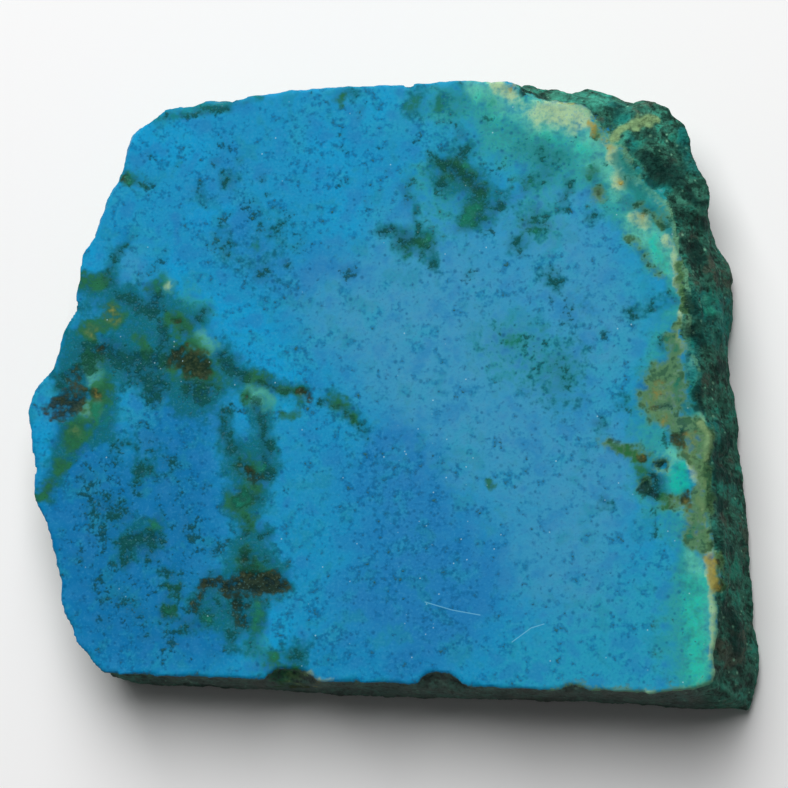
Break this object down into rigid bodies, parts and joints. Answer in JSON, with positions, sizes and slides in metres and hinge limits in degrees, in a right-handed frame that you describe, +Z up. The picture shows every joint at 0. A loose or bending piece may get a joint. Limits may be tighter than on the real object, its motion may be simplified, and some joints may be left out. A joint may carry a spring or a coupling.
{
  "type": "rough turquoise slab",
  "caption": "Rough slab of turquoise: a sawn, half-polished blue face with dark veins, broken dark-green rind round its sides and a flat underside to lie on.",
  "frame": {"origin": "middle of the box's floor, in the plane of the flat underside", "axes": "+X along the long way of the slab, towards its thick side; +Z up, out of the sawn blue face"},
  "size_m": [0.0528, 0.0455, 0.0104],
  "materials": {
    "turquoise": "sawn and half-polished blue face with dark green and brown veins, rough dark green rind on the sides"
  },
  "bodies": {
    "root": {"turquoise_slab": "turquoise"}
  },
  "joints": []
}
